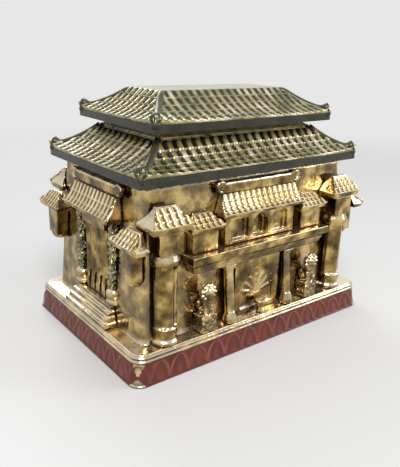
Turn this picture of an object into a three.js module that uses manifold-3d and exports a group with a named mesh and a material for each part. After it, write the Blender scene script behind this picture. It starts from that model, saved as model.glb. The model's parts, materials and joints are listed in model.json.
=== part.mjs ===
// Palace-shaped ceramic funerary urn. Millimetres, +Z up, origin at the middle of the foot rim.
// +X runs along the long face, and the front long face looks along -Y.
import * as THREE from 'three';
import { mergeVertices } from 'three/addons/utils/BufferGeometryUtils.js';
import Module from 'manifold-3d';

const wasm = await Module();
wasm.setup();

// Plinth, terrace and ash chamber
const plinthLength = 340;
const plinthDepth = 234;
const plinthHeight = 27;
const plinthDraft = 4;
const terraceHeight = 5;
const terraceInset = 1.5;
const footRim = 12;
const endTerrace = 31.5;
const frontTerrace = 32;
const wallTopLength = plinthLength - 2 * endTerrace;
const wallTopDepth = plinthDepth - 2 * frontTerrace;
const wallHeight = 158;
const wallDraft = 10;
const shell = 8;
const floorThickness = 8;

// Lid: lower roof, neck and upper roof
const eaveOverhangEnd = 14;
const eaveOverhangFront = 12.5;
const lowerEaveLength = wallTopLength + 2 * eaveOverhangEnd;
const lowerEaveDepth = wallTopDepth + 2 * eaveOverhangFront;
const lowerFascia = 9;
const ringSetbackEnd = 27.5;
const ringSetbackFront = 22.5;
const lowerRingLength = wallTopLength - 2 * ringSetbackEnd;
const lowerRingDepth = wallTopDepth - 2 * ringSetbackFront;
const lowerRise = 24;
const neckHeight = 11.5;
const neckSetback = 9;
const upperOverhangEnd = 13;
const upperOverhangFront = 15;
const upperEaveLength = lowerRingLength + 2 * upperOverhangEnd;
const upperEaveDepth = lowerRingDepth + 2 * upperOverhangFront;
const upperFascia = 8;
const upperRise = 26.5;
const deckSetbackEnd = 39.5;
const deckSetbackFront = 49;
const deckLength = upperEaveLength - 2 * deckSetbackEnd;
const deckDepth = upperEaveDepth - 2 * deckSetbackFront;
const flangeDepth = 12;
const flangeThickness = 6;
const flangeClearance = 1.2;
const ridgeRadius = 3.6;

// Castings on the long faces
const balconyHeight = 98;
const balconyThickness = 20;
const balconyTowerGap = 11.5;
const balconyReach = 15;
const gateHalf = 50;
const gateStoreyHeight = 32;
const gateRoofHeight = 22;
const gateRoofOverhang = 8;
const gateReach = 13;
const columnSpacing = 43;
const columnRadius = 5.6;
const columnBaseHeight = 13;
const nicheHalf = 33;
const bowlRadius = 6.5;
const bowlHeight = 15;
const bowlReach = 9.5;
const pavilionInset = 22;
const pavilionEave = 5;
const pavilionRoofDepth = 15;
const pavilionRoofHeight = 20;
const pavilionHalf = 16;
const pavilionHeight = 22;
const lionSpacing = 77;
const lionPedestal = 20;
const lionPedestalDepth = 16;
const lionPedestalHeight = 20;
const lionHaunch = 8;
const lionHead = 8.5;
const lionHeadHeight = 25;
const lionMuzzleHeight = 22.5;
const lionMuzzleReach = 7;
const lionChestHeight = 14;
const lionLegTop = 15;
const lionEarHeight = 32;
const lionEarSpacing = 5.5;
const towerInset = 14.5;
const towerRoofDepth = 16;
const towerRoofReach = 11;
const towerHalf = 13.5;
const towerBaseRadius = 14.5;
const towerBaseHeight = 18;
const towerColumnRadius = 5.6;
const towerStoreyHeight = 22;
const towerCorbelHeight = 18;
const towerRoofBottom = 150;
const towerRoofHeight = 27;
const towerRoofHalf = 23;

// Castings on the short faces
const sideGateHalf = 46;
const sideGateRoofBottom = 146;
const sideGateRoofHeight = 25;
const sideGateReach = 16;
const ridgeRollHeight = 14;
const reliefColumnSpacing = 35;
const reliefColumnReach = 5;
const reliefColumnRadius = 7.5;
const reliefBaseHeight = 11;
const doorHalf = 24;
const stepCount = 4;
const stepHeight = 5.5;
const stepDepth = 3.8;
const landingReach = 14.5;
const stairHalf = 46;
const turretInset = 1;
const turretHalf = 11;
const turretBottom = 97;
const turretHeight = 35;
const turretRoofHeight = 22;
const turretRoofHalf = 24;
const turretRoofDepth = 14;

// Fits
const joint = 0.3;
const sides = 16;

// Levels and offsets worked out from the sizes above
const terraceTop = plinthHeight + terraceHeight;
const wallTop = terraceTop + wallHeight;
const lidBottom = wallTop + joint;
const lowerRingTop = lidBottom + lowerFascia + lowerRise;
const neckBottom = lowerRingTop + joint;
const neckTop = neckBottom + neckHeight;
const upperBottom = neckTop + joint;
const upperTop = upperBottom + upperFascia + upperRise;
const seat = terraceTop + joint;
const towerSpacing = wallTopLength / 2 - towerInset;
const turretSpacing = wallTopDepth / 2 - turretInset;
const balconyHalf = towerSpacing - towerHalf - balconyTowerGap;
const balconyTop = balconyHeight + balconyThickness;
const pavilionSpacing = balconyHalf - pavilionInset;
const gateRoofBottom = balconyTop + gateStoreyHeight + joint;
const gateRidgeBottom = gateRoofBottom + gateRoofHeight + joint;

const glazes = {
  gold: [0xb98a3e, 0.3, 0.55],
  tile: [0x3d3a20, 0.3, 0.35],
  red: [0x4a1a12, 0.25, 0.1],
  olive: [0x7d6a30, 0.32, 0.5],
};

// A closed three.js geometry as a solid, with shared vertices merged and flat triangles dropped
function solid(geometry) {
  const bare = geometry.clone();
  bare.deleteAttribute('normal');
  bare.deleteAttribute('uv');
  const merged = mergeVertices(bare, 1e-4);
  const p = merged.attributes.position;
  const index = merged.index.array;
  const triangles = [];
  let volume = 0;
  const a = new THREE.Vector3();
  const b = new THREE.Vector3();
  const c = new THREE.Vector3();
  for (let i = 0; i < index.length; i += 3) {
    const [u, v, w] = [index[i], index[i + 1], index[i + 2]];
    if (u === v || v === w || w === u) continue;
    a.fromBufferAttribute(p, u);
    b.fromBufferAttribute(p, v);
    c.fromBufferAttribute(p, w);
    volume += a.dot(b.cross(c));
    triangles.push([u, v, w]);
  }
  const facing = volume < 0 ? triangles.map(([u, v, w]) => [u, w, v]) : triangles;
  return new wasm.Manifold(new wasm.Mesh({
    numProp: 3,
    vertProperties: new Float32Array(p.array),
    triVerts: new Uint32Array(facing.flat()),
  }));
}

const join = (...solids) => solids.reduce((sum, next) => sum.add(next));

// A block between two level rectangles, each [x0, x1, y0, y1]
function taper(low, z0, high, z1) {
  const geometry = new THREE.BoxGeometry(1, 1, 1);
  const p = geometry.attributes.position;
  for (let i = 0; i < p.count; i += 1) {
    const top = p.getZ(i) > 0;
    const [x0, x1, y0, y1] = top ? high : low;
    p.setXYZ(i, p.getX(i) > 0 ? x1 : x0, p.getY(i) > 0 ? y1 : y0, top ? z1 : z0);
  }
  return solid(geometry);
}

const block = (x0, x1, y0, y1, z0, z1) => taper([x0, x1, y0, y1], z0, [x0, x1, y0, y1], z1);
const centred = (halfX, halfY) => [-halfX, halfX, -halfY, halfY];

// A block centred on the origin, through a list of [half length, half depth, height] levels
function stack(levels) {
  const blocks = [];
  for (let i = 1; i < levels.length; i += 1) {
    const [x0, y0, z0] = levels[i - 1];
    const [x1, y1, z1] = levels[i];
    if (z1 > z0) blocks.push(taper(centred(x0, y0), z0, centred(x1, y1), z1));
  }
  return join(...blocks);
}

// A turned form about an upright axis at (x, y), through a list of [radius, height]
function turned(x, y, profile) {
  const points = profile.map(([r, z]) => new THREE.Vector2(r, z));
  points.unshift(new THREE.Vector2(0, profile[0][1]));
  points.push(new THREE.Vector2(0, profile[profile.length - 1][1]));
  const geometry = new THREE.LatheGeometry(points, sides);
  geometry.rotateX(Math.PI / 2);
  geometry.translate(x, y, 0);
  return solid(geometry);
}

// A round bar between two points
function bar(from, to, radius) {
  const start = new THREE.Vector3(...from);
  const end = new THREE.Vector3(...to);
  const along = end.clone().sub(start);
  const geometry = new THREE.CylinderGeometry(radius, radius, along.length(), 10);
  geometry.applyQuaternion(new THREE.Quaternion().setFromUnitVectors(
    new THREE.Vector3(0, 1, 0), along.clone().normalize(),
  ));
  const middle = start.add(end).multiplyScalar(0.5);
  geometry.translate(middle.x, middle.y, middle.z);
  return solid(geometry);
}

function ball(x, y, z, rx, ry, rz) {
  const geometry = new THREE.SphereGeometry(1, 14, 9);
  geometry.scale(rx, ry, rz);
  geometry.translate(x, y, z);
  return solid(geometry);
}

function addMesh(group, name, shape, glaze) {
  const { vertProperties, triVerts } = shape.getMesh();
  const geometry = new THREE.BufferGeometry();
  geometry.setAttribute('position', new THREE.BufferAttribute(new Float32Array(vertProperties), 3));
  geometry.setIndex(new THREE.BufferAttribute(new Uint32Array(triVerts), 1));
  geometry.computeVertexNormals();
  const [color, roughness, metalness] = glazes[glaze];
  const mesh = new THREE.Mesh(geometry, new THREE.MeshStandardMaterial({ color, roughness, metalness }));
  mesh.name = name;
  group.add(mesh);
}

// Outside of the terrace and the drafted walls, grown by a gap. halfX and halfY are the wall's top.
function envelope(halfX, halfY, gap) {
  const walls = stack([
    [halfX + wallDraft + gap, halfY + wallDraft + gap, terraceTop],
    [halfX + gap, halfY + gap, wallTop + 1],
  ]);
  const margin = 40;
  const terrace = stack([
    [halfX + margin, halfY + margin, 0],
    [halfX + margin, halfY + margin, terraceTop + gap],
  ]);
  return walls.add(terrace);
}

const wallHalfX = wallTopLength / 2;
const wallHalfY = wallTopDepth / 2;

function urnBody() {
  const outer = stack([
    [plinthLength / 2, plinthDepth / 2, 0],
    [plinthLength / 2 - plinthDraft, plinthDepth / 2 - plinthDraft, plinthHeight],
  ])
    .add(stack([
      [plinthLength / 2 - plinthDraft - terraceInset, plinthDepth / 2 - plinthDraft - terraceInset, plinthHeight - 1],
      [plinthLength / 2 - plinthDraft - terraceInset, plinthDepth / 2 - plinthDraft - terraceInset, terraceTop],
    ]))
    .add(stack([
      [wallHalfX + wallDraft, wallHalfY + wallDraft, terraceTop - 1],
      [wallHalfX, wallHalfY, wallTop],
    ]));
  const chamber = stack([
    [wallHalfX + wallDraft - shell, wallHalfY + wallDraft - shell, terraceTop],
    [wallHalfX - shell, wallHalfY - shell, wallTop + 1],
  ]);
  const recess = stack([
    [plinthLength / 2 - footRim, plinthDepth / 2 - footRim, -1],
    [plinthLength / 2 - footRim - plinthDraft, plinthDepth / 2 - footRim - plinthDraft, terraceTop - floorThickness],
  ]);
  return outer.subtract(chamber).subtract(recess);
}

// A hip roof casting: fascia, concave slope, ridge rolls on its four hips and a boss at each eave corner
function hipRoof(halfX, halfY, bottom, fascia, topX, topY, top) {
  const eave = bottom + fascia;
  const bendX = topX + (halfX - topX) * 0.45;
  const bendY = topY + (halfY - topY) * 0.45;
  const bend = eave + (top - eave) * 0.38;
  let roof = stack([
    [halfX - 1.5, halfY - 1.5, bottom],
    [halfX - 1.5, halfY - 1.5, eave],
    [bendX, bendY, bend],
    [topX, topY, top],
  ]);
  const low = eave - ridgeRadius + 2;
  for (const sx of [-1, 1]) {
    for (const sy of [-1, 1]) {
      const corner = [sx * (halfX - ridgeRadius - 1), sy * (halfY - ridgeRadius - 1), low];
      const middle = [sx * bendX, sy * bendY, bend];
      const head = [sx * (topX - 1), sy * (topY - 1), top - ridgeRadius];
      roof = join(roof, bar(corner, middle, ridgeRadius), bar(middle, head, ridgeRadius));
      roof = roof.add(ball(corner[0], corner[1], low + 1, 5, 5, 5));
    }
  }
  return roof;
}

function lowerRoof() {
  const ringX = lowerRingLength / 2;
  const ringY = lowerRingDepth / 2;
  const flangeX = wallHalfX - shell - flangeClearance;
  const flangeY = wallHalfY - shell - flangeClearance;
  const flange = stack([
    [flangeX, flangeY, lidBottom - flangeDepth],
    [flangeX, flangeY, lidBottom + 1],
  ]);
  const cavity = stack([
    [flangeX - flangeThickness, flangeY - flangeThickness, lidBottom - flangeDepth - 1],
    [flangeX - flangeThickness, flangeY - flangeThickness, lidBottom],
    [ringX - shell, ringY - shell, lowerRingTop - shell],
    [ringX - 2 * shell, ringY - 2 * shell, lowerRingTop + 1],
  ]);
  return hipRoof(lowerEaveLength / 2, lowerEaveDepth / 2, lidBottom, lowerFascia, ringX, ringY, lowerRingTop)
    .add(flange)
    .subtract(cavity);
}

function roofNeck() {
  const x = lowerRingLength / 2;
  const y = lowerRingDepth / 2;
  const step = neckHeight / 5;
  const outer = stack([
    [x - 2, y - 2, neckBottom],
    [x - 2, y - 2, neckBottom + step],
    [x - 4, y - 4, neckBottom + step],
    [x - 4, y - 4, neckBottom + 2 * step],
    [x - neckSetback, y - neckSetback, neckBottom + 3 * step],
    [x - neckSetback + 2, y - neckSetback + 2, neckTop],
  ]).add(stack([[x - 4, y - 4, neckBottom], [x - 4, y - 4, neckBottom + 2 * step]]));
  const hole = stack([[x - 2 * shell, y - 2 * shell, neckBottom - 1], [x - 2 * shell, y - 2 * shell, neckTop + 1]]);
  return outer.subtract(hole);
}

function upperRoof() {
  const cavity = stack([
    [lowerRingLength / 2 - 2 * shell, lowerRingDepth / 2 - 2 * shell, upperBottom - 1],
    [deckLength / 2 - shell, deckDepth / 2 - shell / 2, upperTop - shell],
  ]);
  return hipRoof(
    upperEaveLength / 2, upperEaveDepth / 2, upperBottom, upperFascia, deckLength / 2, deckDepth / 2, upperTop,
  ).subtract(cavity);
}

// Small hip roof with a ridge roll, centred at (x, y)
function smallRoof(x, y, halfX, halfY, bottom, height) {
  const eave = bottom + height * 0.2;
  const bend = bottom + height * 0.5;
  const top = bottom + height * 0.8;
  const ring = (sx, sy) => [x - sx, x + sx, y - sy, y + sy];
  const ridgeHalf = halfX * 0.5;
  const roll = height * 0.15;
  return join(
    taper(ring(halfX - 1, halfY - 1), bottom, ring(halfX, halfY), eave),
    taper(ring(halfX, halfY), eave, ring(halfX * 0.7, halfY * 0.55), bend),
    taper(ring(halfX * 0.7, halfY * 0.55), bend, ring(ridgeHalf, 2), top),
    bar([x - ridgeHalf, y, top - roll * 0.4], [x + ridgeHalf, y, top - roll * 0.4], roll),
  );
}

// A gate roof with its back on the wall: reach is how far its eave stands out from the wall's top line
function gateRoof(half, wallLine, reach, bottom, height) {
  const low = [-half, half, -(wallLine + reach), -wallLine + 4];
  const middle = [-half * 0.95, half * 0.95, -(wallLine + reach * 0.62), -wallLine + 4];
  const high = [-half * 0.9, half * 0.9, -(wallLine + reach * 0.38), -wallLine + 4];
  return join(
    taper(low, bottom, low, bottom + height * 0.16),
    taper(low, bottom + height * 0.16, middle, bottom + height * 0.55),
    taper(middle, bottom + height * 0.55, high, bottom + height),
  );
}

function gateRidge(half, wallLine, reach, bottom, height) {
  const y = -(wallLine + reach * 0.2);
  const radius = height * 0.32;
  const shapes = [
    block(-half, half, y - 4, y + 4, bottom, bottom + height * 0.6),
    bar([-half, y, bottom + height * 0.6], [half, y, bottom + height * 0.6], radius),
  ];
  for (const s of [-1, 1]) {
    shapes.push(bar([s * half, y - 4.5, bottom + height * 0.62], [s * half, y + 4.5, bottom + height * 0.62], height * 0.38));
  }
  return join(...shapes);
}

function gateStorey(wallLine) {
  const front = -(wallLine + gateReach);
  const bottom = balconyTop + joint;
  const top = bottom + gateStoreyHeight - joint;
  const archHalf = 11;
  const arch = bar([0, front - 1, top - 14], [0, front + 8, top - 14], archHalf)
    .add(block(-archHalf, archHalf, front - 1, front + 8, bottom + 3, top - 14));
  let storey = block(-gateHalf, gateHalf, front, -wallLine + 8, bottom, top).subtract(arch);
  for (const s of [-1, 1]) {
    const x = s * gateHalf * 0.58;
    storey = storey.subtract(block(x - 11, x + 11, front - 1, front + 5, bottom + 4, top - 5));
  }
  return storey;
}

function balcony(wallLine) {
  const front = -(wallLine + wallDraft + balconyReach);
  const back = -wallLine;
  const plan = (inset) => [-balconyHalf + inset, balconyHalf - inset, front + inset, back];
  return join(
    taper(plan(7), balconyHeight, plan(4), balconyHeight + balconyThickness * 0.35),
    taper(plan(5), balconyHeight + balconyThickness * 0.35, plan(1), balconyHeight + balconyThickness * 0.6),
    taper(plan(0), balconyHeight + balconyThickness * 0.6, plan(0), balconyTop),
  );
}

function pavilion(x, wallLine) {
  const bottom = balconyTop + joint;
  const y = -(wallLine + 4);
  return block(x - pavilionHalf, x + pavilionHalf, y - 11, y + 8, bottom, bottom + pavilionHeight + 1)
    .add(smallRoof(
      x, y - 1, pavilionHalf + pavilionEave, pavilionRoofDepth, bottom + pavilionHeight, pavilionRoofHeight,
    ));
}

function gateColumn(x, wallLine) {
  const foot = [x, -(wallLine + wallDraft + 8.5), seat + 4];
  const head = [x, -(wallLine + wallDraft + 2), balconyHeight - joint - 2];
  return join(
    bar(foot, head, columnRadius),
    turned(x, foot[1], [[columnRadius + 2, seat], [columnRadius + 2.5, seat + 5], [columnRadius, seat + columnBaseHeight]]),
    block(x - 7, x + 7, head[1] - 5, head[1] + 5, balconyHeight - joint - 5, balconyHeight - joint),
  );
}

function nichePanel(wallLine) {
  const face = -(wallLine + wallDraft + 3);
  const top = balconyHeight - joint;
  const frame = block(-nicheHalf, nicheHalf, face, -wallLine, seat, top);
  const recessHalf = nicheHalf - 9;
  const spring = seat + 30;
  const recess = bar([0, face - 1, spring], [0, face + 2.2, spring], recessHalf)
    .add(block(-recessHalf, recessHalf, face - 1, face + 2.2, seat + 6, spring));
  let panel = frame.subtract(recess);
  for (let i = 0; i < 7; i += 1) {
    const turn = (Math.PI * (i + 0.5)) / 7;
    const reach = recessHalf - 3;
    const from = [0, face + 2.4, spring - 8];
    const to = [Math.cos(turn) * reach, face + 2.4, spring - 8 + Math.sin(turn) * reach];
    panel = panel.add(bar(from, to, 1.6));
  }
  return panel;
}

const bowl = (wallLine) => turned(0, -(wallLine + wallDraft + bowlReach), [
  [bowlRadius * 0.6, seat],
  [bowlRadius * 0.35, seat + bowlHeight * 0.35],
  [bowlRadius, seat + bowlHeight * 0.7],
  [bowlRadius * 0.95, seat + bowlHeight],
]);

// Guardian lion on a cube pedestal: haunches, chest, forelegs, mane, muzzle and ears
function guardianLion(x, wallLine) {
  const y = -(wallLine + wallDraft + lionPedestalDepth / 2);
  const half = lionPedestal / 2;
  const halfDepth = lionPedestalDepth / 2;
  const base = seat + lionPedestalHeight;
  return join(
    block(x - half, x + half, y - halfDepth, y + halfDepth, seat, base),
    ball(x, y + 4, base + lionHaunch, lionHaunch, 7, 9),
    ball(x, y - 1, base + lionChestHeight, 7, 7, 11),
    ball(x, y - 3, base + lionHeadHeight, 8, 8, lionHead),
    ball(x, y - lionMuzzleReach, base + lionMuzzleHeight, 4, 3.5, 3.5),
    bar([x - 4, y - 6, base - 1], [x - 4, y - 3, base + lionLegTop], 2.6),
    bar([x + 4, y - 6, base - 1], [x + 4, y - 3, base + lionLegTop], 2.6),
    ball(x - lionEarSpacing, y - 2, base + lionEarHeight, 2.2, 1.8, 2.4),
    ball(x + lionEarSpacing, y - 2, base + lionEarHeight, 2.2, 1.8, 2.4),
  );
}

// Corner tower below its roof: ring base, three columns, bulbous corbel and box storey
function towerShaft(x, wallLine) {
  const y = -(wallLine + 12.5);
  const storeyTop = towerRoofBottom - joint;
  const storeyBottom = storeyTop - towerStoreyHeight;
  const corbelBottom = storeyBottom - towerCorbelHeight;
  const shapes = [
    turned(x, y, [
      [towerBaseRadius, seat],
      [towerBaseRadius, seat + 4],
      [towerBaseRadius - 2.5, seat + 6],
      [towerBaseRadius - 1, seat + towerBaseHeight],
    ]),
    turned(x, y, [
      [8, corbelBottom - 2],
      [towerHalf + 1.5, corbelBottom + towerCorbelHeight * 0.45],
      [towerHalf + 1.5, corbelBottom + towerCorbelHeight * 0.65],
      [towerHalf - 2, storeyBottom + 1],
    ]),
    block(x - towerHalf, x + towerHalf, y - towerHalf + 2, y + towerHalf, storeyBottom, storeyTop),
  ];
  for (const dx of [-1, 0, 1]) {
    const cy = y - (dx === 0 ? 6 : 1);
    shapes.push(bar([x + dx * 7.5, cy, seat + towerBaseHeight - 2], [x + dx * 7.5, cy, corbelBottom + 4], towerColumnRadius));
  }
  return join(...shapes);
}

const towerRoof = (x, wallLine) => smallRoof(
  x, -(wallLine + towerRoofReach), towerRoofHalf, towerRoofDepth, towerRoofBottom, towerRoofHeight,
);

function doorPanel(wallLine) {
  const face = -(wallLine + wallDraft - 2);
  const top = sideGateRoofBottom - joint;
  const bottom = seat + stepCount * stepHeight;
  let door = block(-doorHalf, doorHalf, face, -wallLine, bottom, top);
  for (const x of [-0.75, -0.25, 0.25, 0.75]) {
    door = door.add(block(x * doorHalf - 1.4, x * doorHalf + 1.4, face - 2, face + 1, bottom, top));
  }
  return door.add(block(-doorHalf, doorHalf, face - 4, face + 1, top - 14, top));
}

function reliefColumn(x, wallLine) {
  const y = -(wallLine + reliefColumnReach);
  const bottom = seat + stepCount * stepHeight;
  const top = sideGateRoofBottom - joint;
  const r = reliefColumnRadius;
  return turned(x, y, [
    [r + 1.5, bottom],
    [r + 2, bottom + reliefBaseHeight * 0.5],
    [r, bottom + reliefBaseHeight],
    [r, top - 6],
    [r + 1.5, top - 3],
    [r + 1.5, top],
  ]);
}

function stairs(wallLine) {
  const shapes = [];
  for (let i = 0; i < stepCount; i += 1) {
    const reach = wallLine + landingReach + (stepCount - 1 - i) * stepDepth;
    shapes.push(block(-stairHalf + i * 2, stairHalf - i * 2, -reach, -wallLine, seat, seat + (i + 1) * stepHeight - joint));
  }
  return join(...shapes);
}

// Turret at the end of a short face: hanging box storey with a rounded foot, under a small hip roof
function turret(x, wallLine) {
  const y = -(wallLine + 11);
  const top = turretBottom + turretHeight;
  const foot = ball(x, y, turretBottom + 5, turretHalf, 10, 9);
  return join(
    foot,
    block(x - turretHalf, x + turretHalf, y - 9, y + 9, turretBottom + 4, top),
    smallRoof(x, y, turretRoofHalf, turretRoofDepth, top - 0.5, turretRoofHeight),
  );
}

const urn = new THREE.Group();
addMesh(urn, 'urn_body', urnBody(), 'red');

const lid = new THREE.Group();
urn.add(lid);
addMesh(lid, 'lower_roof', lowerRoof(), 'tile');
addMesh(lid, 'roof_neck', roofNeck(), 'olive');
addMesh(lid, 'upper_roof', upperRoof(), 'tile');

const longEnvelope = envelope(wallHalfX, wallHalfY, joint);
const shortEnvelope = envelope(wallHalfY, wallHalfX, joint);

for (const [face, turn] of [['front', 0], ['back', Math.PI]]) {
  const group = new THREE.Group();
  group.rotation.z = turn;
  urn.add(group);
  const add = (name, shape, glaze) => addMesh(group, `${face}_${name}`, shape.subtract(longEnvelope), glaze);
  const wall = wallHalfY;
  add('gate_roof', gateRoof(gateHalf + gateRoofOverhang, wall, gateReach + 8, gateRoofBottom, gateRoofHeight), 'tile');
  add('gate_ridge', gateRidge(gateHalf + 2, wall, gateReach + 8, gateRidgeBottom, ridgeRollHeight), 'gold');
  add('gate_storey', gateStorey(wall), 'gold');
  add('balcony', balcony(wall), 'gold');
  add('niche_panel', nichePanel(wall), 'gold');
  add('bowl', bowl(wall), 'gold');
  for (const [side, s] of [['left', -1], ['right', 1]]) {
    add(`column_${side}`, gateColumn(s * columnSpacing, wall), 'gold');
    add(`pavilion_${side}`, pavilion(s * pavilionSpacing, wall), 'gold');
    add(`lion_${side}`, guardianLion(s * lionSpacing, wall), 'gold');
    add(`tower_shaft_${side}`, towerShaft(s * towerSpacing, wall), 'gold');
    add(`tower_roof_${side}`, towerRoof(s * towerSpacing, wall), 'tile');
  }
}

// The turrets stop short of the corner towers, which reach towerSpacing + towerRoofHalf along the long face
const towerEnd = towerSpacing + towerRoofHalf + joint;
const towerSide = wallHalfY + towerRoofReach - towerRoofDepth - 2;
const beyond = plinthLength;
for (const [face, turn] of [['left', -Math.PI / 2], ['right', Math.PI / 2]]) {
  const group = new THREE.Group();
  group.rotation.z = turn;
  urn.add(group);
  const add = (name, shape, glaze) => addMesh(group, `${face}_${name}`, shape.subtract(shortEnvelope), glaze);
  const wall = wallHalfX;
  add('gate_roof', gateRoof(sideGateHalf + 2, wall, sideGateReach + 5, sideGateRoofBottom, sideGateRoofHeight), 'tile');
  add('gate_ridge', gateRidge(sideGateHalf, wall, sideGateReach, sideGateRoofBottom + sideGateRoofHeight + joint, ridgeRollHeight), 'gold');
  add('door_panel', doorPanel(wall), 'gold');
  add('stairs', stairs(wall), 'gold');
  for (const [side, s] of [['near', 1], ['far', -1]]) {
    const corner = block(
      s > 0 ? towerSide : -beyond, s > 0 ? beyond : -towerSide, -towerEnd, 0, 0, wallTop,
    );
    add(`relief_column_${side}`, reliefColumn(s * reliefColumnSpacing, wall), 'olive');
    add(`turret_${side}`, turret(s * turretSpacing, wall).subtract(corner), 'gold');
  }
}

export default urn;
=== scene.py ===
import json
import math
from collections import namedtuple

import bpy
from mathutils import Matrix, Vector


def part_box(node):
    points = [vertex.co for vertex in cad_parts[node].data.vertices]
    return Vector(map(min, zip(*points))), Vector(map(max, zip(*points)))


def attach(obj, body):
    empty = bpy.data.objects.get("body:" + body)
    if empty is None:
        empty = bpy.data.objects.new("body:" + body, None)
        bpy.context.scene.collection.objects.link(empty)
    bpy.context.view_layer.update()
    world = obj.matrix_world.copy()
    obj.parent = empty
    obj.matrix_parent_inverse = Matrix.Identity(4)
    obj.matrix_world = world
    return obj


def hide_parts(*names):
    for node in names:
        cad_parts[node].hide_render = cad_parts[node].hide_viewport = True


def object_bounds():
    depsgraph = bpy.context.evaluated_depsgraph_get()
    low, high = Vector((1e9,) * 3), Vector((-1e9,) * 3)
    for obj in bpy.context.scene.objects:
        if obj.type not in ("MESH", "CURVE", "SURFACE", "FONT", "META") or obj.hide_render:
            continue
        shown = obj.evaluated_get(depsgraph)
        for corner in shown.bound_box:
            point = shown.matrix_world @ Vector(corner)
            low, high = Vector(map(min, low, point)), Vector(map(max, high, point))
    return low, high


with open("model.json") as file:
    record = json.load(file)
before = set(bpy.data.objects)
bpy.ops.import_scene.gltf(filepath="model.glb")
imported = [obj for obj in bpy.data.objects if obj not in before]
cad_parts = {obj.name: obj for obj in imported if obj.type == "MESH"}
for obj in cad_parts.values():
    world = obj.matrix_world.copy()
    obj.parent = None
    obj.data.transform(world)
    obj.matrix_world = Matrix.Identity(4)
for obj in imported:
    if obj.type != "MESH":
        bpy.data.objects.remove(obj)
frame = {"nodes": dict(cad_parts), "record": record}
cad_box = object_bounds()
nodes = frame["nodes"]

MM = 0.001
TOP_OF_URN = cad_box[1][2]


# Materials. The scale of a noise is about the number of its marks in a metre

COAT_ROUGHNESS = 0.08
# How far the painted shade and the pooled glaze reach into recesses
POOL_AND_SHADE_DISTANCE = 6 * MM
OPEN_FROM, OPEN_TO = 0.35, 0.85
WALL_MOTTLE, DECK_MOTTLE, PAN_MOTTLE, CREST_MOTTLE = 55, 30, 60, 45
HAND_MARKS, HAND_MARK_DEPTH = 120, 1.4 * MM
TILE_GRAIN, TILE_GRAIN_DEPTH, TILE_GRAIN_STRENGTH = 500, 0.3 * MM, 0.2
CREST_FROM, CREST_TO = 0.25, 0.7
BLACK, WHITE = (0, 0, 0), (1, 1, 1)


def new_material(name, metallic, roughness, coat):
    """A material with a glossy coat, its node tree and its Principled shader."""
    material = bpy.data.materials.new(name)
    material.use_nodes = True
    tree = material.node_tree
    shader = tree.nodes["Principled BSDF"]
    shader.inputs["Metallic"].default_value = metallic
    shader.inputs["Roughness"].default_value = roughness
    shader.inputs["Coat Weight"].default_value = coat
    shader.inputs["Coat Roughness"].default_value = COAT_ROUGHNESS
    return material, tree, shader


def ramp(tree, source, stops):
    """The colour that stops, a list of (value, colour), give to the value of source."""
    node = tree.nodes.new("ShaderNodeValToRGB")
    elements = node.color_ramp.elements
    while len(elements) < len(stops):
        elements.new(0.5)
    for element, (value, colour) in zip(elements, stops):
        element.position = value
        element.color = (*colour, 1)
    tree.links.new(source, node.inputs["Fac"])
    return node.outputs["Color"]


def mix(tree, factor, low, high):
    """The colour low where factor is 0 and high where it is 1. Each is a socket or a plain colour."""
    node = tree.nodes.new("ShaderNodeMix")
    node.data_type = "RGBA"
    for name, kind, value in (("Factor", "VALUE", factor), ("A", "RGBA", low), ("B", "RGBA", high)):
        slot = next(s for s in node.inputs if s.name == name and s.type == kind)
        if isinstance(value, bpy.types.NodeSocket):
            tree.links.new(value, slot)
        else:
            slot.default_value = (*value, 1)
    return next(s for s in node.outputs if s.type == "RGBA")


def noise(tree, scale, detail=4.0):
    coordinates = tree.nodes.new("ShaderNodeTexCoord")
    node = tree.nodes.new("ShaderNodeTexNoise")
    node.inputs["Scale"].default_value = scale
    node.inputs["Detail"].default_value = detail
    tree.links.new(coordinates.outputs["Object"], node.inputs["Vector"])
    return node.outputs["Fac"]


def upward(tree):
    """How far the surface faces up, from 0 on a wall to 1 on a floor. A glaze uses it for its painted sheen.
    """
    geometry = tree.nodes.new("ShaderNodeNewGeometry")
    split = tree.nodes.new("ShaderNodeSeparateXYZ")
    tree.links.new(geometry.outputs["Normal"], split.inputs["Vector"])
    clamp = tree.nodes.new("ShaderNodeClamp")
    tree.links.new(split.outputs["Z"], clamp.inputs["Value"])
    return clamp.outputs["Result"]


def openness(tree):
    """How open the surface is, from black deep in a recess, where the glaze pools and where a glaze gets its
    painted shade, to white in the open.
    """
    node = tree.nodes.new("ShaderNodeAmbientOcclusion")
    node.inputs["Distance"].default_value = POOL_AND_SHADE_DISTANCE
    node.samples = 8
    return ramp(tree, node.outputs["AO"], [(OPEN_FROM, BLACK), (OPEN_TO, WHITE)])


def add_bump(tree, shader, height, strength, distance):
    node = tree.nodes.new("ShaderNodeBump")
    node.inputs["Strength"].default_value = strength
    node.inputs["Distance"].default_value = distance
    tree.links.new(height, node.inputs["Height"])
    tree.links.new(node.outputs["Normal"], shader.inputs["Normal"])


def glaze(name, walls, top, pool_and_shade, metallic, roughness, coat, bump):
    """Lustre glaze: mottled on walls, dark in the relief, where it pools and where shade is painted, and
    paler where it faces up, where a sheen is painted.
    """
    material, tree, shader = new_material(name, metallic, roughness, coat)
    wall = ramp(tree, noise(tree, WALL_MOTTLE), walls)
    # The relief gets the pool colour: glaze pooled there, darkened further as painted shade
    pooled_and_shaded = mix(tree, openness(tree), pool_and_shade, wall)
    # Faces that look up get the top colour, a painted sheen
    tree.links.new(mix(tree, upward(tree), pooled_and_shaded, top), shader.inputs["Base Color"])
    add_bump(tree, shader, noise(tree, HAND_MARKS, detail=6.0), bump, HAND_MARK_DEPTH)
    return material


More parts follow.
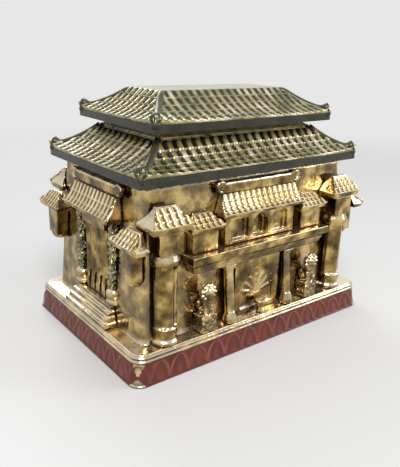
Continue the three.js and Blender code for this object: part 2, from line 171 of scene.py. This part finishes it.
def upper_roof_glaze(look, deck_level):
    """A glaze of the given look, with the flat deck above deck_level pale green, the glaze's own green made
    paler by a painted sheen.
    """
    material = glaze("upper_roof_glaze", **look)
    tree = material.node_tree
    shader = tree.nodes["Principled BSDF"]
    colour = shader.inputs["Base Color"].links[0].from_socket
    coordinates = tree.nodes.new("ShaderNodeTexCoord")
    split = tree.nodes.new("ShaderNodeSeparateXYZ")
    tree.links.new(coordinates.outputs["Object"], split.inputs["Vector"])
    above = tree.nodes.new("ShaderNodeMath")
    above.operation = "GREATER_THAN"
    above.inputs[1].default_value = deck_level
    tree.links.new(split.outputs["Z"], above.inputs[0])
    # The deck's pale green is partly the glaze's green and partly a painted sheen on the flat top
    pale = ramp(tree, noise(tree, DECK_MOTTLE), [(0.3, (0.34, 0.33, 0.2)), (0.7, (0.55, 0.54, 0.38))])
    tree.links.new(mix(tree, above.outputs["Value"], colour, pale), shader.inputs["Base Color"])
    return material


def banded_glaze(name, pans, tops, metallic, roughness, coat):
    """Glaze that changes from pans to tops where the crest attribute rises. The lighter tops on raised crests
    are partly the glaze's colour and partly a painted highlight.
    """
    material, tree, shader = new_material(name, metallic, roughness, coat)
    attribute = tree.nodes.new("ShaderNodeAttribute")
    attribute.attribute_name = "crest"
    low = ramp(tree, noise(tree, PAN_MOTTLE), pans)
    high = ramp(tree, noise(tree, CREST_MOTTLE), tops)
    # Raised crests take the lighter tops, partly a painted highlight
    raised = ramp(tree, attribute.outputs["Fac"], [(CREST_FROM, BLACK), (CREST_TO, WHITE)])
    tree.links.new(mix(tree, raised, low, high), shader.inputs["Base Color"])
    add_bump(tree, shader, noise(tree, TILE_GRAIN, detail=3.0), TILE_GRAIN_STRENGTH, TILE_GRAIN_DEPTH)
    return material


# In each look, the top colour is a painted sheen on faces that look up
DARK_TILE_LOOK = {
    "walls": [(0.3, (0.008, 0.009, 0.004)), (0.7, (0.034, 0.034, 0.014))],
    "top": (0.08, 0.08, 0.035), "pool_and_shade": (0.004, 0.004, 0.002),
    "metallic": 0.2, "roughness": 0.24, "coat": 0.12, "bump": 0.25}
# The gold's dark wall tones are partly the glaze's own mottle and partly a painted dark reflection on its
# sides
gold = glaze(
    "gold_lustre",
    walls=[(0.36, (0.075, 0.045, 0.011)), (0.5, (0.24, 0.155, 0.042)), (0.64, (0.62, 0.44, 0.16))],
    top=(1.0, 0.88, 0.66), pool_and_shade=(0.07, 0.02, 0.003),
    metallic=0.96, roughness=0.09, coat=0.25, bump=0.75)
olive = glaze(
    "olive_lustre",
    walls=[(0.36, (0.045, 0.042, 0.018)), (0.64, (0.34, 0.29, 0.13))],
    top=(0.62, 0.54, 0.3), pool_and_shade=(0.02, 0.014, 0.005),
    metallic=0.85, roughness=0.14, coat=0.4, bump=0.6)
dark_tile = glaze("dark_tile_glaze", **DARK_TILE_LOOK)
red = glaze(
    "red_brown_glaze",
    walls=[(0.3, (0.09, 0.016, 0.008)), (0.7, (0.2, 0.045, 0.02))],
    top=(0.45, 0.22, 0.08), pool_and_shade=(0.04, 0.008, 0.004),
    metallic=0.2, roughness=0.2, coat=0.8, bump=0.15)
tile = banded_glaze(
    "tile_crest_glaze",
    pans=[(0.3, (0.012, 0.014, 0.004)), (0.7, (0.04, 0.045, 0.015))],
    tops=[(0.35, (0.19, 0.17, 0.06)), (0.53, (0.46, 0.39, 0.18)), (0.68, (0.84, 0.73, 0.5))],
    metallic=0.5, roughness=0.2, coat=0.5)
gold_tile = banded_glaze(
    "gold_tile_glaze",
    pans=[(0.3, (0.1, 0.05, 0.01)), (0.7, (0.3, 0.17, 0.04))],
    tops=[(0.35, (0.6, 0.46, 0.2)), (0.65, (0.95, 0.84, 0.58))],
    metallic=0.7, roughness=0.22, coat=0.5)
plinth_red = banded_glaze(
    "plinth_red_glaze",
    pans=[(0.3, (0.075, 0.007, 0.005)), (0.7, (0.17, 0.024, 0.012))],
    tops=[(0.35, (0.15, 0.024, 0.012)), (0.68, (0.3, 0.075, 0.03))],
    metallic=0.1, roughness=0.3, coat=0.12)

SLOT_GLAZE = {"red_glaze": red, "tile_glaze": dark_tile, "olive_glaze": olive, "gold_glaze": gold}
slot_of = {entry["node"]: entry["material_slot"] for entry in frame["record"]["subparts"]}
glaze_of = {node: SLOT_GLAZE[slot_name] for node, slot_name in slot_of.items()}
glaze_of["upper_roof"] = upper_roof_glaze(DARK_TILE_LOOK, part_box("upper_roof")[1].z - 0.4 * MM)
for node, material in glaze_of.items():
    nodes[node].data.materials.clear()
    nodes[node].data.materials.append(material)


# Shapes

COURSE_ROWS = 9
COLUMN_STEP = 0.09  # share of a tile's width between two columns of points
RIB_WIDTH = 0.62  # share of a tile's width that its rib takes
RIB_FALL = 0.35  # share of its height that a rib loses up to the next course
LIP_LENGTH, LIP_HEIGHT = 0.3, 0.62  # of the lip at a course's foot, as shares of a course and of a rib
SKIN_DEPTH = 1.5 * MM


def add_piece(name, vertices, faces, material, body, crest=None):
    """A smooth-shaded mesh piece that rides on a body."""
    mesh = bpy.data.meshes.new(name)
    mesh.from_pydata(vertices, [], faces)
    if crest is not None:
        mesh.attributes.new("crest", "FLOAT", "POINT").data.foreach_set("value", crest)
    mesh.polygons.foreach_set("use_smooth", [True] * len(mesh.polygons))
    mesh.materials.append(material)
    piece = bpy.data.objects.new(name, mesh)
    bpy.context.scene.collection.objects.link(piece)
    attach(piece, body)
    return piece


def grid_faces(rows, columns, start):
    """The quads of a grid of points whose first point has the index start."""
    return [(start + i * columns + j, start + i * columns + j + 1,
             start + (i + 1) * columns + j + 1, start + (i + 1) * columns + j)
            for i in range(rows - 1) for j in range(columns - 1)]


def tile_height(across, step):
    """Height of the tiles, from 0 to 1. across goes from 0 in a rib's middle to 1 in a pan's, and step from 0
    at the foot of a course to 1 at the next one."""
    rib = math.sqrt(max(0.0, 1 - (across / RIB_WIDTH) ** 2)) if across < RIB_WIDTH else 0.0
    lip = max(0.0, 1 - step / LIP_LENGTH) * LIP_HEIGHT
    return max(rib * (1 - RIB_FALL * step), lip)


def tiled_slope(name, corners, width, courses, relief, body, material, sag, lift, flick, ceiling=TOP_OF_URN):
    """A thin closed skin of ribbed, stepped tiles, each about width wide, over a slope. corners are the two
    ends of the eave and of the top, each pair from left to right as seen from outside. The pans lie lift
    above the slope, its middle sags by the share sag of the rise, and the eave's corners turn up by flick."""
    eave_a, eave_b, top_a, top_b = (Vector(p) for p in corners)
    along = (eave_b - eave_a).normalized()
    fall = ((top_a + top_b) - (eave_a + eave_b)) / 2
    normal = along.cross(fall).normalized()
    length = (eave_b - eave_a).length
    columns = max(12, int(length / (width * COLUMN_STEP)))
    rows = courses * COURSE_ROWS + 1
    pitch = length / max(2, round(length / width))
    centre = (eave_a + eave_b) / 2
    vertices, crest = [], []
    for outside in (True, False):
        for i in range(rows):
            v = i / (rows - 1)
            low, high = eave_a.lerp(top_a, v), eave_b.lerp(top_b, v)
            drop = 4 * sag * v * (1 - v) * fall.z
            step = (v * courses) % 1.0 if v < 1 else 1.0
            for j in range(columns):
                point = low.lerp(high, j / (columns - 1))
                across = abs((((point - centre).dot(along) / pitch) % 1.0) - 0.5) * 2
                height = tile_height(across, step)
                end = abs(2 * j / (columns - 1) - 1)
                raised = flick * end ** 5 * (1 - v) ** 3 if outside else 0.0
                offset = (lift + relief * height) if outside else -SKIN_DEPTH
                moved = point + normal * offset + Vector((0, 0, raised - drop))
                moved.z = min(moved.z, ceiling)
                vertices.append(moved)
                crest.append(height)
    count = rows * columns
    faces = grid_faces(rows, columns, 0)
    faces += [tuple(reversed(face)) for face in grid_faces(rows, columns, count)]
    border = list(range(columns)) + [i * columns + columns - 1 for i in range(1, rows)]
    border += [(rows - 1) * columns + j for j in range(columns - 2, -1, -1)]
    border += [i * columns for i in range(rows - 2, 0, -1)]
    for a, b in zip(border, border[1:] + border[:1]):
        faces.append((b, a, a + count, b + count))
    add_piece(name, vertices, faces, material, body, crest)


def swept_tube(name, points, radii, material, body, sides=14):
    """A round roll along a smooth line of points, with a flat cap at each end."""
    points = [Vector(p) for p in points]
    vertices, faces = [], []
    for k, (point, radius) in enumerate(zip(points, radii)):
        before, after = points[max(k - 1, 0)], points[min(k + 1, len(points) - 1)]
        tangent = (after - before).normalized()
        side = tangent.cross(Vector((0, 0, 1)))
        side = side.normalized() if side.length > 1e-6 else Vector((1, 0, 0))
        lift = side.cross(tangent)
        for n in range(sides):
            turn = 2 * math.pi * n / sides
            vertices.append(point + (side * math.cos(turn) + lift * math.sin(turn)) * radius)
    for k in range(len(points) - 1):
        for n in range(sides):
            m = (n + 1) % sides
            faces.append((k * sides + n, k * sides + m, (k + 1) * sides + m, (k + 1) * sides + n))
    faces.append(tuple(reversed(range(sides))))
    faces.append(tuple((len(points) - 1) * sides + n for n in range(sides)))
    add_piece(name, vertices, faces, material, body)


# Castings

def softened(node, voxel, smoothing, texture, depth):
    """A copy of a node, with edges rounded as glaze rounds them and a surface made uneven by a texture."""
    piece = bpy.data.objects.new(node + "_cast", nodes[node].data.copy())
    bpy.context.scene.collection.objects.link(piece)
    remesh = piece.modifiers.new("remesh", "REMESH")
    remesh.mode = "VOXEL"
    remesh.voxel_size = voxel
    smooth = piece.modifiers.new("smooth", "SMOOTH")
    smooth.iterations = smoothing
    displace = piece.modifiers.new("wobble", "DISPLACE")
    displace.texture = texture
    displace.strength = depth
    depsgraph = bpy.context.evaluated_depsgraph_get()
    baked = bpy.data.meshes.new_from_object(piece.evaluated_get(depsgraph))
    piece.modifiers.clear()
    piece.data = baked
    baked.polygons.foreach_set("use_smooth", [True] * len(baked.polygons))
    baked.materials.clear()
    baked.materials.append(gold if "roof" in node else glaze_of[node])
    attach(piece, "urn")
    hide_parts(node)


hand_wobble = bpy.data.textures.new("hand_wobble", "CLOUDS")
hand_wobble.noise_scale = 7 * MM
dragon_relief = bpy.data.textures.new("dragon_relief", "CLOUDS")
dragon_relief.noise_scale = 6 * MM
dragon_relief.noise_type = "HARD_NOISE"
dragon_relief.contrast = 1.8

for node in slot_of:
    if "relief_column" in node:
        softened(node, voxel=0.7 * MM, smoothing=5, texture=dragon_relief, depth=4.5 * MM)
    elif "_lion_" in node:
        softened(node, voxel=0.7 * MM, smoothing=10, texture=dragon_relief, depth=1.4 * MM)
    elif node not in ("urn_body", "lower_roof", "upper_roof", "roof_neck"):
        softened(node, voxel=1.0 * MM, smoothing=3, texture=hand_wobble, depth=0.35 * MM)


# Lid roofs. An eave or a top is given by half its length and half its depth

LOWER_EAVE, UPPER_EAVE = (152.5 * MM, 97.5 * MM), (124 * MM, 77.5 * MM)
LOWER_EAVE_DROP, UPPER_EAVE_RISE = 24.3 * MM, 8 * MM
RING_MARGIN = 2 * MM
DECK = (84.5 * MM, 28.5 * MM)
TILE_INSET = 1.5 * MM
LID_COURSES, LID_SAG, LID_LIFT = 5, 0.15, 1.2 * MM
LOWER_TILE, UPPER_TILE = 11.6 * MM, 10.2 * MM
LOWER_RELIEF, UPPER_RELIEF = 2.4 * MM, 2.2 * MM
LOWER_ROLL, UPPER_ROLL = 4.8 * MM, 4.2 * MM
CORNER_FLICK = 4.5 * MM
BOSS = 1.35  # radius of the boss at a roll's foot, in radii of the roll
BOSS_LENGTH, FLICK_LENGTH = 0.12, 0.25  # shares of a roll's length


def hip_slopes(prefix, eave, top, eave_level, top_level, width, relief, ceiling):
    """Tiles on the four slopes of a hip roof, TILE_INSET inside its eave."""
    foot = [size - TILE_INSET for size in eave]
    for turn, name in enumerate(("front", "right", "back", "left")):
        spin = Matrix.Rotation(math.radians(90 * turn), 3, "Z")
        x, y = turn % 2, 1 - turn % 2
        corners = ((-foot[x], -foot[y], eave_level), (foot[x], -foot[y], eave_level),
                   (-top[x], -top[y], top_level), (top[x], -top[y], top_level))
        tiled_slope(f"{prefix}_tiles_{name}", [spin @ Vector(p) for p in corners], width, LID_COURSES,
                    relief, "lid", tile, LID_SAG, LID_LIFT, CORNER_FLICK, ceiling)


def hip_rolls(prefix, eave, top, eave_level, top_level, radius):
    """Smooth ridge rolls on the four hips, flicked up to a round boss at the eave corners."""
    steps = 16
    foot_x, foot_y = (size - 0.9 * radius for size in eave)
    run_x, run_y = (high - low for low, high in zip(eave, top))
    for sx in (-1, 1):
        for sy in (-1, 1):
            points, radii = [], []
            for k in range(steps + 1):
                v = k / steps
                risen = (top_level - eave_level) * (v - 4 * LID_SAG * v * (1 - v))
                flick = CORNER_FLICK * max(0.0, 1 - v / FLICK_LENGTH) ** 2
                level = min(eave_level + risen + 0.4 * radius + flick, TOP_OF_URN - radius)
                points.append((sx * (foot_x + run_x * v), sy * (foot_y + run_y * v), level))
                radii.append(radius * (BOSS - (BOSS - 1) * min(1, v / BOSS_LENGTH)))
            first = Vector(points[0])
            points.insert(0, first + (first - Vector(points[1])).normalized() * 0.35 * radius)
            radii.insert(0, 0.85 * radius)
            corner = f"{'left' if sx < 0 else 'right'}_{'front' if sy < 0 else 'back'}"
            swept_tube(f"{prefix}_hip_roll_{corner}", points, radii, dark_tile, "lid")


neck_low, neck_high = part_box("roof_neck")
upper_low, upper_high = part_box("upper_roof")
neck_ring = (neck_high.x + RING_MARGIN, neck_high.y + RING_MARGIN)
lower_eave_level = neck_low.z - LOWER_EAVE_DROP
upper_eave_level = upper_low.z + UPPER_EAVE_RISE
hip_slopes("lower_roof", LOWER_EAVE, neck_ring, lower_eave_level, neck_low.z,
           LOWER_TILE, LOWER_RELIEF, TOP_OF_URN)
hip_slopes("upper_roof", UPPER_EAVE, DECK, upper_eave_level, upper_high.z - 1 * MM,
           UPPER_TILE, UPPER_RELIEF, TOP_OF_URN - 0.2 * MM)
hip_rolls("lower_roof", LOWER_EAVE, neck_ring, lower_eave_level, neck_low.z, LOWER_ROLL)
hip_rolls("upper_roof", UPPER_EAVE, DECK, upper_eave_level, upper_high.z, UPPER_ROLL)


# Small pieces on the four faces, placed in their face's own frame, which looks along -Y

FACES = {"front": 0, "back": 180, "left": -90, "right": 90}
Box = namedtuple("Box", "left right middle reach bottom top")

GATE_TILE, GATE_RELIEF, GATE_LIFT = 7.6 * MM, 1.5 * MM, 0.7 * MM
GATE_DEPTH = 13 * MM
GATE_EAVE, GATE_TAPER = 0.16, 0.9  # shares of a gate roof's height and of its length

# Half length, depth, height and tile width of the small hip roofs
SMALL_ROOFS = {"tower_roof": (23 * MM, 16 * MM, 27 * MM, 7.6 * MM),
               "pavilion": (21 * MM, 15 * MM, 20 * MM, 7 * MM),
               "turret": (24 * MM, 14 * MM, 22 * MM, 6 * MM)}
SMALL_COURSES, SMALL_RELIEF = 3, 1.4 * MM
SMALL_SAG, SMALL_LIFT, SMALL_FLICK = 0.02, 0.6 * MM, 1.6 * MM
TILED_FROM, TILED_TO, NODE_TOP = 0.2, 0.8, 0.89  # shares of a small roof's height
RIDGE_MARGIN = 2 * MM

SCROLL_INSET, SCROLL_SET_BACK, SCROLL_DROP = 4 * MM, 1.5 * MM, 6 * MM
DRUM_AXIS = 8.5 * MM
# Levels and radii of a column's drum, in mm: a disc, a waist and a pillow
DRUM = ((0, 7.5), (1, 9.3), (3, 9.8), (5, 9.2), (6.5, 7.8), (8, 8.2), (10, 9.3), (13, 9.4), (16, 8),
        (17.5, 6))


def turned_to(node, points):
    """Points in the frame of a node's face, turned to where that face is."""
    spin = Matrix.Rotation(math.radians(FACES[node.split("_")[0]]), 3, "Z")
    return [spin @ Vector(p) for p in points]


def local_box(node):
    """A node's box in its face's own frame, where reach is how far out its outer side is."""
    low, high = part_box(node)
    back = Matrix.Rotation(math.radians(-FACES[node.split("_")[0]]), 3, "Z")
    a, b = back @ low, back @ high
    return Box(min(a.x, b.x), max(a.x, b.x), (a.x + b.x) / 2, -min(a.y, b.y), low.z, high.z)


def outer_slope(box, half, eave, top_half, top_reach, top):
    """The corners of a slope that rises inwards from a box's outer side."""
    return ((box.middle - half, -box.reach, eave), (box.middle + half, -box.reach, eave),
            (box.middle - top_half, -top_reach, top), (box.middle + top_half, -top_reach, top))


def gate_tiles(node, courses):
    """Tiles on the outer slope of a gate's roof."""
    box = local_box(node)
    half = (box.right - box.left) / 2
    eave = box.bottom + GATE_EAVE * (box.top - box.bottom)
    corners = outer_slope(box, half, eave, GATE_TAPER * half, box.reach - GATE_DEPTH, box.top)
    tiled_slope(node + "_tiles", turned_to(node, corners), GATE_TILE, courses, GATE_RELIEF, "urn", gold_tile,
                LID_SAG, GATE_LIFT, 0.0)


def hip_tiles(node, half, depth, height, width):
    """Tiles on the outer slope of a small hip roof."""
    box = local_box(node)
    bottom = box.top - NODE_TOP * height
    eave, top = bottom + TILED_FROM * height, bottom + TILED_TO * height
    corners = outer_slope(box, half, eave, half / 2, box.reach - depth + RIDGE_MARGIN, top)
    tiled_slope(node + "_tiles", turned_to(node, corners), width, SMALL_COURSES, SMALL_RELIEF, "urn",
                gold_tile, SMALL_SAG, SMALL_LIFT, SMALL_FLICK)


def ridge_scroll(name, x, out, level, sign):
    """A curled finial: a tube that winds inwards, in the plane of the face."""
    steps, first_angle, winding = 30, -100, 500
    outer_radius, inner_radius = 6.2 * MM, 1.6 * MM
    thick, thin = 2.3 * MM, 1.4 * MM
    points, radii = [], []
    for k in range(steps + 1):
        v = k / steps
        turn = math.radians(first_angle + winding * v)
        radius = outer_radius + (inner_radius - outer_radius) * v
        points.append((x + sign * radius * math.cos(turn), -out, level + radius * math.sin(turn)))
        radii.append(thick + (thin - thick) * v)
    swept_tube(name, turned_to(name, points), radii, gold, "urn", sides=10)


def column_drum(node):
    """The turned foot of a relief column."""
    box = local_box(node)
    points = [(box.middle, -(box.reach - DRUM_AXIS), box.bottom + z * MM) for z, radius in DRUM]
    swept_tube(node + "_drum", turned_to(node, points), [radius * MM for z, radius in DRUM],
               gold, "urn", sides=28)


def lion_mane(node):
    """A ring of curls round a guardian lion's face."""
    curls, turns, sides = 11, 88, 12
    ring_radius, curl_radius, curl_depth = 7.4 * MM, 2.6 * MM, 0.8 * MM
    box = local_box(node)
    out, level = box.reach - 7 * MM, box.top - 9.8 * MM
    points, faces = [], []
    for u in range(turns):
        a = 2 * math.pi * u / turns
        radius = curl_radius + curl_depth * math.cos(curls * a)
        for v in range(sides):
            b = 2 * math.pi * v / sides
            around = ring_radius + radius * math.cos(b)
            points.append((box.middle + around * math.cos(a), -out - radius * math.sin(b),
                           level + around * math.sin(a)))
            after, beside = (u + 1) % turns, (v + 1) % sides
            faces.append((u * sides + v, after * sides + v, after * sides + beside, u * sides + beside))
    add_piece(node + "_mane", turned_to(node, points), faces, gold, "urn")


for face in FACES:
    long_face = face in ("front", "back")
    sides = ("left", "right") if long_face else ("near", "far")
    for side in sides:
        if long_face:
            lion_mane(f"{face}_lion_{side}")
        else:
            column_drum(f"{face}_relief_column_{side}")
    gate_tiles(f"{face}_gate_roof", courses=4 if long_face else 3)
    ridge = local_box(f"{face}_gate_ridge")
    for side, x, sign in (("left", ridge.left + SCROLL_INSET, -1), ("right", ridge.right - SCROLL_INSET, 1)):
        ridge_scroll(f"{face}_ridge_scroll_{side}", x, ridge.reach - SCROLL_SET_BACK,
                     ridge.top - SCROLL_DROP, sign)
    for kind in ("tower_roof", "pavilion") if long_face else ("turret",):
        for side in sides:
            hip_tiles(f"{face}_{kind}_{side}", *SMALL_ROOFS[kind])


# Urn body. Its levels, and its insets from the plinth's sides, are in mm

PLINTH_RADIUS, WALL_RADIUS = 14, 8
FOOT_WIDTH, RECESS_DRAFT, RECESS_ROOF = 12, 4, 24
PLINTH_HEIGHT, PLINTH_DRAFT = 27, 4
PETAL_INSET, PETAL_RELIEF, PETAL_PITCH = 1.3, 1.2, 24
PETAL_LOW, PETAL_HIGH = 2.5, 22.5
BAND_LOW, BAND_HEIGHT, BAND_ROWS = 2.4, 20.6, 22
MOULDINGS = ((4.6, 23.6), (3.9, 24.2), (3.9, 25.4), (5, 26), (5.2, 27.4), (4.7, 28.2), (4.7, 29), (6, 29.6),
             (6, 31), (6.7, 31.8))
TERRACE, TERRACE_INSET = 32, 8
WALL_INSET, WALL_DRAFT, WALL_ROWS, WALL_THICKNESS = 21.5, 10, 24, 8
RIM = 190
GOLD_LEVEL, GOLD_FALL = 23.3, 1.8  # where the gold starts on the sides, and its fall towards a corner
FOOT_GOLD_LEVEL, FOOT_GOLD_RISE = -0.5, 1.2  # where the gold at the foot ends, and its rise to a corner
ARC_STEPS, SIDE_POINTS = 14, (250, 370)


def rounded_ring(half_x, half_y, radius, level):
    """Points round a rectangle with round corners, with the outward direction at each."""
    signs = ((1, -1), (1, 1), (-1, 1), (-1, -1))
    centres = [Vector((sx * (half_x - radius), sy * (half_y - radius), level)) for sx, sy in signs]
    points = []
    for corner, centre in enumerate(centres):
        for k in range(ARC_STEPS + 1):
            turn = math.radians(-90 + 90 * (corner + k / ARC_STEPS))
            out = Vector((math.cos(turn), math.sin(turn), 0))
            points.append((centre + out * radius, out))
        start, out = points[-1]
        end = centres[(corner + 1) % 4] + out * radius
        count = SIDE_POINTS[corner % 2]
        points += [(start.lerp(end, k / count), out) for k in range(1, count)]
    return points


def petal(t, w):
    """Height of a lotus petal at t across it, from -0.5 to 0.5, and w up it, from 0 to 1."""
    widest, fullness, tip = 0.46, 2.2, 0.6
    edge_width, heart_height, heart_top = 0.07, 0.6, 0.75
    width = widest * max(0.0, 1 - w ** fullness) ** tip
    heart_width = max(0.02, 0.5 * width)
    edge = math.exp(-(((abs(t) - width) / edge_width) ** 2))
    heart = heart_height * max(0.0, 1 - (t / heart_width) ** 2) * max(0.0, 1 - w / heart_top) ** 0.5
    return max(edge, heart)


def petal_places(half_x, half_y):
    """Where each point of a ring lies across its petal, with a whole number of petals round the plinth."""
    base = [point for point, out in rounded_ring(half_x, half_y, PLINTH_RADIUS * MM, 0)]
    along = [0.0]
    for a, b in zip(base, base[1:] + base[:1]):
        along.append(along[-1] + (b - a).length)
    petals = round(along[-1] / (PETAL_PITCH * MM))
    return [petals * travelled / along[-1] % 1.0 - 0.5 for travelled in along[:-1]]


def body_profile():
    """The body's section as (inset, level, corner radius): from the recess under it, up outside to the rim
    and down into the chamber."""
    profile = [(FOOT_WIDTH + RECESS_DRAFT, RECESS_ROOF, WALL_RADIUS), (FOOT_WIDTH, 0.4, WALL_RADIUS),
               (FOOT_WIDTH - 1, 0, WALL_RADIUS), (PETAL_INSET, 0, PLINTH_RADIUS),
               (0.4, 0.8, PLINTH_RADIUS), (0.4, 2, PLINTH_RADIUS)]
    for k in range(BAND_ROWS + 1):
        z = BAND_LOW + BAND_HEIGHT * k / BAND_ROWS
        profile.append((PETAL_INSET + PLINTH_DRAFT * z / PLINTH_HEIGHT, z, PLINTH_RADIUS))
    profile += [(inset, z, PLINTH_RADIUS) for inset, z in MOULDINGS]
    profile += [(TERRACE_INSET, TERRACE, PLINTH_RADIUS - 1), (WALL_INSET - 0.3, TERRACE, WALL_RADIUS)]
    wall_low, wall_high = TERRACE + 0.2, RIM - 0.2
    for k in range(WALL_ROWS + 1):
        v = k / WALL_ROWS
        profile.append((WALL_INSET + WALL_DRAFT * v, wall_low + (wall_high - wall_low) * v, WALL_RADIUS))
    outer, inner = WALL_INSET + WALL_DRAFT, WALL_INSET + WALL_DRAFT + WALL_THICKNESS
    floor_inset = WALL_INSET + WALL_THICKNESS
    profile += [(outer + 0.5, RIM, WALL_RADIUS), (inner - 0.9, RIM, WALL_RADIUS),
                (inner, RIM - 0.6, WALL_RADIUS), (floor_inset, TERRACE + 0.4, WALL_RADIUS),
                (floor_inset + 1, TERRACE, WALL_RADIUS)]
    return profile


def urn_shell():
    """The whole body as one closed skin: red in the recess, under the foot and on the petals between the
    corners, and gold elsewhere."""
    half_x, half_y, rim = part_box("urn_body")[1]
    profile, places = body_profile(), petal_places(half_x, half_y)
    count = len(places)
    vertices, crest, faces = [], [], []
    for inset, z, radius in profile:
        level = rim if z >= RIM else z * MM
        points = rounded_ring(half_x - inset * MM, half_y - inset * MM, radius * MM, level)
        share = (z - PETAL_LOW) / (PETAL_HIGH - PETAL_LOW)
        for t, (point, out) in zip(places, points):
            height = petal(t, share) if 0 <= share <= 1 else 0.0
            vertices.append(point + out * PETAL_RELIEF * MM * height)
            crest.append(height)
    for i in range(len(profile) - 1):
        for j in range(count):
            k = (j + 1) % count
            faces.append((i * count + j, i * count + k, (i + 1) * count + k, (i + 1) * count + j))
    faces.append(tuple(reversed(range(count))))
    faces.append(tuple((len(profile) - 1) * count + j for j in range(count)))
    body = add_piece("urn_shell", vertices, faces, plinth_red, "urn", crest)
    body.data.materials.append(gold)
    straight_x, straight_y = half_x - PLINTH_RADIUS * MM, half_y - PLINTH_RADIUS * MM
    for face in body.data.polygons:
        x, y, z = face.center
        corner = max(0, min(abs(x) - straight_x, abs(y) - straight_y))
        recess = abs(x) < straight_x and abs(y) < straight_y and z < (RECESS_ROOF + 1) * MM
        upper_gold = z > GOLD_LEVEL * MM - GOLD_FALL * corner
        foot_gold = z < FOOT_GOLD_LEVEL * MM + FOOT_GOLD_RISE * corner
        face.material_index = 1 if (upper_gold or foot_gold) and not recess else 0
    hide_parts("urn_body")


urn_shell()


# Camera, fitted to the edges of the plinth, walls and roofs in the photograph

LENS, SENSOR = 42.64, 36
CAMERA_AT = Vector((-0.4022, -0.5025, 0.3157))
YAW, PITCH, ROLL = (math.radians(angle) for angle in (38.26, 18.97, 1.88))

forward = Vector((math.sin(YAW) * math.cos(PITCH), math.cos(YAW) * math.cos(PITCH), -math.sin(PITCH)))
level = Vector((math.cos(YAW), -math.sin(YAW), 0))
upright = level.cross(forward)
right = level * math.cos(ROLL) + upright * math.sin(ROLL)
up = upright * math.cos(ROLL) - level * math.sin(ROLL)

camera_data = bpy.data.cameras.new("camera")
camera_data.lens = LENS
camera_data.sensor_width = SENSOR
camera_data.clip_start = 0.01
camera = bpy.data.objects.new("camera", camera_data)
bpy.context.scene.collection.objects.link(camera)
camera.matrix_world = Matrix.Translation(CAMERA_AT) @ Matrix((right, up, -forward)).transposed().to_4x4()
bpy.context.scene.camera = camera


# Lights

AIM = Vector((0, 0, 0.12))
SURROUND, SURROUND_STRENGTH = (0.9, 0.9, 0.9, 1), 0.36
BACKDROP = (0.8, 0.8, 0.8, 1)


def area_light(name, place, size, watts):
    """A square lamp, size wide, that points at the urn."""
    data = bpy.data.lights.new(name, "AREA")
    data.shape = "RECTANGLE"
    data.size = size
    data.size_y = size
    data.energy = watts
    lamp = bpy.data.objects.new(name, data)
    bpy.context.scene.collection.objects.link(lamp)
    lamp.location = place
    lamp.rotation_euler = (AIM - Vector(place)).to_track_quat("-Z", "Y").to_euler()


area_light("key_light", (-0.7, -1.0, 1.4), size=0.7, watts=21)
area_light("fill_light", (1.3, -0.8, 0.8), size=0.8, watts=8)
area_light("back_light", (0.3, 1.4, 1.2), size=0.8, watts=8)

# The camera and glossy reflections see the backdrop, and the dimmer surround lights the rest
world = bpy.data.worlds.new("studio")
bpy.context.scene.world = world
world.use_nodes = True
world_nodes, world_links = world.node_tree.nodes, world.node_tree.links
surround = world_nodes["Background"]
surround.inputs["Color"].default_value = SURROUND
surround.inputs["Strength"].default_value = SURROUND_STRENGTH
backdrop = world_nodes.new("ShaderNodeBackground")
backdrop.inputs["Color"].default_value = BACKDROP
backdrop.inputs["Strength"].default_value = 1
ray = world_nodes.new("ShaderNodeLightPath")
shown = world_nodes.new("ShaderNodeMath")
shown.operation = "MAXIMUM"
world_links.new(ray.outputs["Is Camera Ray"], shown.inputs[0])
world_links.new(ray.outputs["Is Glossy Ray"], shown.inputs[1])
choice = world_nodes.new("ShaderNodeMixShader")
world_links.new(shown.outputs["Value"], choice.inputs["Fac"])
world_links.new(surround.outputs["Background"], choice.inputs[1])
world_links.new(backdrop.outputs["Background"], choice.inputs[2])
world_links.new(choice.outputs["Shader"], world_nodes["World Output"].inputs["Surface"])


# Floor, which fades into the backdrop between two distances from the urn's middle

FLOOR_COLOUR = (0.82, 0.82, 0.82, 1)
FLOOR_HALF = 6
FADE_FROM, FADE_TO = 0.6, 1.7

floor_mesh = bpy.data.meshes.new("floor")
floor_corners = [(x * FLOOR_HALF, y * FLOOR_HALF, 0) for x, y in ((-1, -1), (1, -1), (1, 1), (-1, 1))]
floor_mesh.from_pydata(floor_corners, [], [(0, 1, 2, 3)])
floor = bpy.data.objects.new("floor", floor_mesh)
bpy.context.scene.collection.objects.link(floor)
floor_material, floor_tree, floor_shader = new_material("floor", metallic=0, roughness=0.6, coat=0)
floor_shader.inputs["Base Color"].default_value = FLOOR_COLOUR
floor_nodes, floor_links = floor_tree.nodes, floor_tree.links
position = floor_nodes.new("ShaderNodeTexCoord")
distance = floor_nodes.new("ShaderNodeVectorMath")
distance.operation = "LENGTH"
floor_links.new(position.outputs["Object"], distance.inputs[0])
fade = floor_nodes.new("ShaderNodeMapRange")
fade.interpolation_type = "SMOOTHSTEP"
fade.inputs["From Min"].default_value = FADE_FROM
fade.inputs["From Max"].default_value = FADE_TO
floor_links.new(distance.outputs["Value"], fade.inputs["Value"])
clear = floor_nodes.new("ShaderNodeBsdfTransparent")
blend = floor_nodes.new("ShaderNodeMixShader")
floor_links.new(fade.outputs["Result"], blend.inputs["Fac"])
floor_links.new(floor_shader.outputs["BSDF"], blend.inputs[1])
floor_links.new(clear.outputs["BSDF"], blend.inputs[2])
floor_links.new(blend.outputs["Shader"], floor_nodes["Material Output"].inputs["Surface"])
floor_mesh.materials.append(floor_material)

bpy.context.scene.view_settings.view_transform = "Standard"
